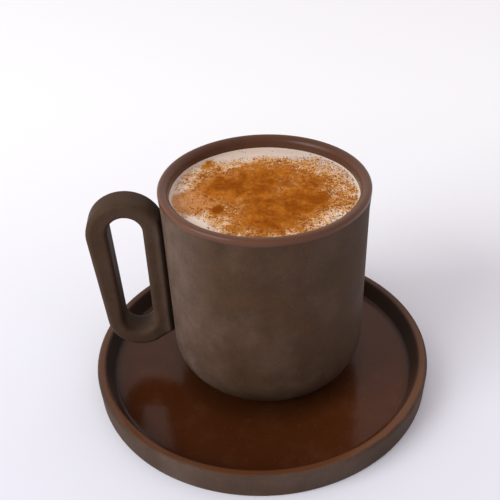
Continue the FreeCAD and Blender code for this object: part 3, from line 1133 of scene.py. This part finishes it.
dust_group, given, result = start_group(
    "cinnamon_dust",
    {"Where": VECTOR, "Amount": FLOAT, "Light": COLOR, "Dark": COLOR, "Packed": COLOR},
    {"Color": COLOR, "Cover": FLOAT, "Height": FLOAT})
drifting = noise(given["Where"], 150, 4, 0.6)
lumpy = noise(given["Where"], 480, 3, 0.6)
grainy = noise(given["Where"], 1250, 2, 0.6)
tone = times(lumpy, 0.3, times(drifting, 0.7))
mixed = blend(ramp(tone, 0.4, 0.6), given["Light"], given["Dark"])
thick = ramp(given["Amount"], 1.1, 1.75, 0.0, 0.8)
stipple = times(grainy, 1.3, times(lumpy, 0.6))
plug_all(result, {
    "Color": blend(thick, mixed, given["Packed"]),
    "Cover": ramp(times(given["Amount"], 0.9, stipple), 1.42, 1.68),
    "Height": plus(lumpy, grainy),
})
print(dust_group.name, "has", len(dust_group.nodes), "nodes")

# %% [markdown]
# ## Milk under the dust
# The drink is off-white and slightly glossy when wet. Below the dust it warms to
# a pale tan, because fine powder soaks in before it can be seen as grains. One
# lobe by the wall has soaked through to a smooth tan.

# %% Material: salep
# Painted light: MILK_NEAR is the lighter milk in front, MILK_FAR the darker milk at the back.
MILK_NEAR, MILK_FAR = (0.95, 0.79, 0.66, 1), (0.69, 0.57, 0.485, 1)
MILK_CLOUDED = (0.66, 0.47, 0.34, 1)
MILK_STAINED, MILK_STEEPED = (0.7, 0.35, 0.105, 1), (0.52, 0.185, 0.023, 1)

milk, tree, shader, where = start_material("salep_milk")
amount = stored(tree, "powder")
dust = use_group(tree, dust_group, {"Where": where, "Amount": amount, **DUST_COLORS})
cloud = noise(where, 90, 3, 0.5)
# Painted light: the milk is lighter towards the front and darker towards the back.
front_light_fade = ramp(parts(where)["Y"], -25 * MM, 30 * MM)
pale = blend(front_light_fade, MILK_NEAR, MILK_FAR)
plain = blend(ramp(cloud, 0.3, 0.7, 0.0, 0.35), pale, MILK_CLOUDED)
uneven = times(noise(where, 520, 3, 0.65), 1.4, -0.72)
started = times(uneven, ramp(amount, 0.05, 0.3))
dusted = ramp(plus(amount, started), 0.0, 0.62)
stained = blend(dusted, plain, MILK_STAINED)
soak = times(ramp(stored(tree, "soaked"), 0.15, 0.7),
             ramp(noise(where, 330, 3, 0.6), 0.25, 0.6, 0.7, 1.0))
steeped = blend(soak, stained, MILK_STEEPED)
plug_all(shader, {
    "Base Color": blend(dust["Cover"], steeped, dust["Color"]),
    "Roughness": ramp(dust["Cover"], 0.0, 1.0, 0.34, 0.85),
    "Normal": bumped(times(dust["Cover"], dust["Height"]), 0.5, 0.2 * MM),
    "Specular IOR Level": 0.3,
})
dress(drink, milk)

# %% Material: cinnamon crust
THIN_CRUST = (0.56, 0.24, 0.055, 1)

powdery, tree, shader, where = start_material("cinnamon_crust")
amount = stored(tree, "powder")
dust = use_group(tree, dust_group, {"Where": where, "Amount": amount, **DUST_COLORS})
thin_edge = ramp(amount, 0.6, 1.15)
plug_all(shader, {
    "Base Color": blend(thin_edge, THIN_CRUST, dust["Color"]),
    "Roughness": ramp(dust["Height"], 0.6, 1.4, 0.78, 0.95),
    "Normal": bumped(dust["Height"], 0.6, 0.25 * MM),
    "Specular IOR Level": 0.05,
})
dress(crust, powdery)

# %% Material: cinnamon grains
FINE_LIGHT, FINE_DARK = (0.42, 0.13, 0.012, 1), (0.26, 0.095, 0.024, 1)
FLAKE_LIGHT, FLAKE_DARK = (0.32, 0.11, 0.02, 1), (0.1, 0.042, 0.014, 1)

loose, tree, shader, where = start_material("cinnamon_grains")
tone = stored(tree, "tone")
fine_color = blend(tone, FINE_LIGHT, FINE_DARK)
flake_color = blend(math_node("SUBTRACT", tone, 1.0), FLAKE_LIGHT, FLAKE_DARK)
both = blend(math_node("GREATER_THAN", tone, 1.0), fine_color, flake_color)
mottle = ramp(noise(where, 2600, 2), 0.3, 0.7, 0.8, 1.2)
plug_all(shader, {
    "Base Color": scaled(both, mottle),
    "Roughness": ramp(mottle, 0.8, 1.2, 0.75, 0.92),
    "Specular IOR Level": 0.05,
})
dress(grains, loose)

# %% [markdown]
# ## Each piece on the part's body
# Every piece rides on the one body of this part and names the solid that it
# stands for.

# %% Pieces and their solids
for piece, node, finish in (
    (saucer, "saucer", "saucer_stoneware"),
    (cup, "cup", "cup_stoneware"),
    (drink, "salep", "salep_milk"),
    (crust, "salep", "ground_cinnamon"),
    (grains, "salep", "ground_cinnamon"),
):
    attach(piece, "root")
    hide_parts(node)
    print(piece.name, "stands for", node)

# %% [markdown]
# ## Floor and light
# The floor is a pale sheet with painted shade: darker and bluer towards the
# camera. A wide soft lamp stands low at the left and a little in front, as a
# window does, and an even pale sky fills the shadows. The camera and the glaze see
# that sky a little paler than it lights, and the glaze mirrors a darker room on
# the side that the cup is looked at from.

# %% Floor
FLOOR_HALF = 9.0
FLOOR_NEAR, FLOOR_FAR = (0.79, 0.79, 0.87, 1), (0.945, 0.95, 0.965, 1)

floor_mesh = bpy.data.meshes.new("floor")
floor_mesh.from_pydata(
    [(-FLOOR_HALF, -FLOOR_HALF, 0), (FLOOR_HALF, -FLOOR_HALF, 0),
     (FLOOR_HALF, FLOOR_HALF, 0), (-FLOOR_HALF, FLOOR_HALF, 0)],
    [], [(0, 1, 2, 3)])
floor = bpy.data.objects.new("floor", floor_mesh)
bpy.context.collection.objects.link(floor)
paper, tree, shader, where = start_material("pale_floor")
# Painted shade: FLOOR_NEAR in front, darker and bluer, and FLOOR_FAR at the back.
far = times(noise(where, 900), 0.04, ramp(parts(where)["Y"], -0.16, 0.36))
plug_all(shader, {
    "Base Color": blend(far, FLOOR_NEAR, FLOOR_FAR),
    "Roughness": 0.7,
    "Specular IOR Level": 0.0,
})
dress(floor, paper)
floor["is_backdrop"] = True

# %% World and lamp
SKY_LIGHT, SKY_SEEN = 0.77, 0.93
TINT_LIGHT, TINT_SEEN = (1, 0.94, 0.958, 1), (1, 0.955, 0.94, 1)
ROOM_DIMS = 0.7
WINDOW_PLACE = (-1.7, -0.95, 1.1)

world = bpy.data.worlds.new("soft_sky")
bpy.context.scene.world = world
world.use_nodes = True
tree = world.node_tree
sky = tree.nodes["Background"].inputs
path = add(tree, "ShaderNodeLightPath").outputs
seen = path["Is Camera Ray"]
for ray in ("Is Glossy Ray", "Is Transmission Ray"):
    seen = math_node("MAXIMUM", seen, path[ray])
direction = add(tree, "ShaderNodeTexCoord").outputs["Generated"]
to_back = parts(direction)["Y"]
dim = times(path["Is Glossy Ray"], ramp(to_back, -0.4, 0.5, ROOM_DIMS, 0.0))
even = blend(seen, SKY_LIGHT, SKY_SEEN, "FLOAT")
plug_all(sky, {
    "Color": blend(seen, TINT_LIGHT, TINT_SEEN),
    "Strength": times(even, math_node("SUBTRACT", 1.0, dim)),
})

light = bpy.data.lights.new("window", "AREA")
light.shape = "SQUARE"
light.size = 1.4
light.energy = 39
light.color = (0.955, 1, 0.99)
lamp = bpy.data.objects.new("window", light)
lamp.location = WINDOW_PLACE
middle_of_cup = Vector((CUP_AXIS_X, CUP_AXIS_Y, LEVEL / 2))
lamp.rotation_euler = (middle_of_cup - lamp.location).to_track_quat("-Z", "Y").to_euler()
bpy.context.collection.objects.link(lamp)
bpy.context.scene.view_settings.view_transform = "Standard"

# %% [markdown]
# ## Sizes, and the last line
# The dressed part has to stay inside the box of its solids, so both boxes are
# written down next to each other.

# %% Sizes
seen_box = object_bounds()
for label, (low, high) in (("solids", CAD_BOX), ("pieces", seen_box)):
    print(label, [round((b - a) / MM, 2) for a, b in zip(low, high)], "mm")
